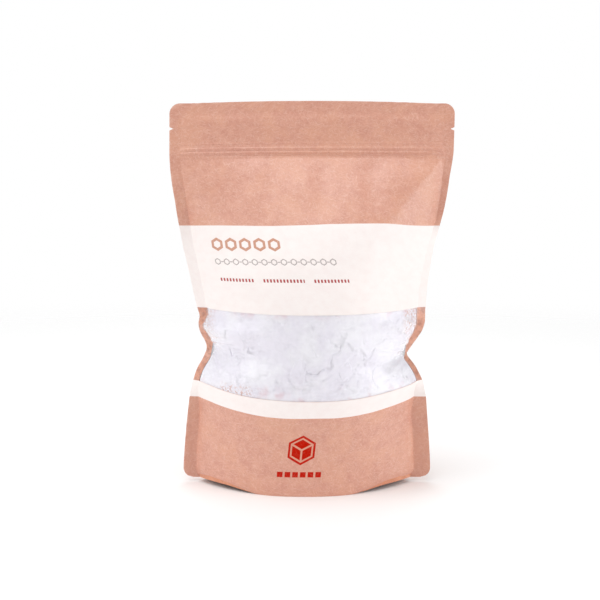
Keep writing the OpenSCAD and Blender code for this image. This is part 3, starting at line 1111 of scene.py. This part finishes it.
def zip_profile(channel):
    """A track's cross-section as (way in from the ply, height) points. The way in is 1 at the middle."""
    tape_top, tape_foot, tape_in = 5.0, -4.0, 0.21
    tape = [(0.0, z) for z in np.linspace(tape_top, tape_foot, 31)] + [(tape_in, tape_foot)]
    if channel:
        jaw_h = 0.8
        lower = [(1.29, -jaw_h), (1.29, -0.42), (1.12, -0.5), (0.25, -0.5), (0.25, 0.0)]
        jaws = lower + [(y, -z) for y, z in lower[-2::-1]]
        return tape + [(tape_in, -jaw_h)] + jaws + [(tape_in, jaw_h), (tape_in, tape_top)]
    stem_end, stem_h = 0.7, 0.25
    turns = np.radians(np.arange(-144, 145, 24))
    bulb = [(1 + 0.35 * math.cos(a), 0.42 * math.sin(a)) for a in turns]
    stem_foot = [(tape_in, -stem_h), (stem_end, -stem_h)]
    return tape + stem_foot + bulb + [(stem_end, stem_h), (tape_in, stem_h), (tape_in, tape_top)]


def make_zip(name, face, node, channel, cols, material):
    """A zip track that runs along inside the mouth and is crushed flat at its ends."""
    t = cols[0][SEAL_COLUMNS + 1 : -SEAL_COLUMNS - 1]
    profile = np.array(zip_profile(channel))
    heights, row_of = np.unique(ZIP + profile[:, 1], return_inverse=True)
    points = ply_surface(t[None], 0 * t[None], heights[:, None], face, ZIP_OUT)[0][row_of]
    middle = seal_middle(t[None], heights[:, None])[row_of]
    half_gap = np.minimum(ZIP_HALF, np.abs(points[..., 1] - middle))
    points[..., 1] -= face * profile[:, :1] * half_gap
    faces = tube_faces(*points.shape[:2], flipped=face == FRONT)
    piece = mesh_from(name, points.reshape(-1, 3), faces, materials=[material], smooth_angle=35)
    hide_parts(node)
    bend_with_lip(piece)


# -------- the studio

FLOOR_R = 1600
# The lowest creases of the foot reach just below the frame's zero
FLOOR_Z = -0.12
FLOOR_WHITE = rgb(252, 252, 252)
# How strong the white room is as a source of light, and as the camera sees it
ROOM_LIGHT, ROOM_SEEN = 0.5, 1.0
# Name, place and aim in metres, size in metres and power in watts
LIGHTS = (
    ("right", (1.3, -0.4, 0.35), (0, 0, 0.15), 1.0, 7.3),
    ("left", (-1.3, -0.5, 0.7), (0, 0, 0.13), 1.2, 5.8),
    ("top", (-0.3, -0.3, 1.7), (0, 0, 0.15), 1.3, 13),
    ("back", (0, 1.5, 1.8), (0, 0.3, 0), 1.5, 12),
)
CAMERA_PLACE = (-0.0079, -0.6, 0.177)
CAMERA_DOWN = 4.99
LENS = 53.5


def studio_floor():
    """Matt white, which fades out away from the object into the white of the room."""
    s = Shader("floor")
    distance = s.add("VectorMath", {0: s.place()}, operation="LENGTH").outputs["Value"]
    fade = s.ramp(distance, 1500.0, 300.0)
    return s.principled(FLOOR_WHITE, 0.9, Alpha=fade)


def make_stage():
    """A pale round floor."""
    mesh = bmesh.new()
    bmesh.ops.create_circle(mesh, cap_ends=True, segments=64, radius=FLOOR_R)
    points, faces = points_and_faces(mesh)
    mesh_from("floor", points + (0, 0, FLOOR_Z), faces, materials=[studio_floor()])


def make_room():
    """A white room, which is dimmer as a source of light than it looks."""
    world = bpy.data.worlds.new("room")
    bpy.context.scene.world = world
    world.use_nodes = True
    nodes, links = world.node_tree.nodes, world.node_tree.links
    background = nodes["Background"]
    background.inputs["Color"].default_value = WHITE
    seen = nodes.new("ShaderNodeLightPath").outputs["Is Camera Ray"]
    strength = nodes.new("ShaderNodeMapRange")
    strength.inputs["To Min"].default_value = ROOM_LIGHT
    strength.inputs["To Max"].default_value = ROOM_SEEN
    links.new(seen, strength.inputs["Value"])
    links.new(strength.outputs[0], background.inputs["Strength"])


def make_lights():
    """Soft boxes at both sides, above, and behind for the floor."""
    for name, place, aim, size, power in LIGHTS:
        light = bpy.data.lights.new(name, "AREA")
        light.size = size
        light.energy = power
        lamp = bpy.data.objects.new(name, light)
        lamp.location = place
        lamp.rotation_euler = (Vector(aim) - Vector(place)).to_track_quat("-Z", "Y").to_euler()
        bpy.context.scene.collection.objects.link(lamp)


def make_camera():
    """In front of the pouch, a little below its shoulders, and tipped down."""
    camera = bpy.data.cameras.new("camera")
    camera.sensor_width = 36
    camera.lens = LENS
    camera.clip_start = 0.05
    obj = bpy.data.objects.new("camera", camera)
    obj.location = CAMERA_PLACE
    obj.rotation_euler = (math.radians(90 - CAMERA_DOWN), 0, 0)
    bpy.context.scene.collection.objects.link(obj)
    bpy.context.scene.camera = obj


# Height of a row, number of columns between the seals, and the lumps' subdivisions
STEP, ACROSS, FINENESS = ((1.25, 170, 5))
LUMPS = sum(name.startswith("chalk_lump_") for name in frame["nodes"])

make_camera()
make_room()
make_lights()
make_stage()
bpy.context.scene.view_settings.view_transform = "Standard"
cols = columns(ACROSS)
front_kraft, plain_kraft, inside = make_panels(STEP, cols)
make_header(STEP, cols, front_kraft, plain_kraft, inside)
make_window(STEP / 2, cols)
make_gusset(columns(ACROSS // 2), inside)
powder = chalk("chalk_powder")
make_chalk(STEP * 0.65, powder)
film = film_surface()
for k in range(1, LUMPS + 1):
    make_lump(k, film, powder, FINENESS)
plastic = zip_plastic()
make_zip("zip_rib", FRONT, "zip_rib_track", False, cols, plastic)
make_zip("zip_channel", BACK, "zip_groove_track", True, cols, plastic)
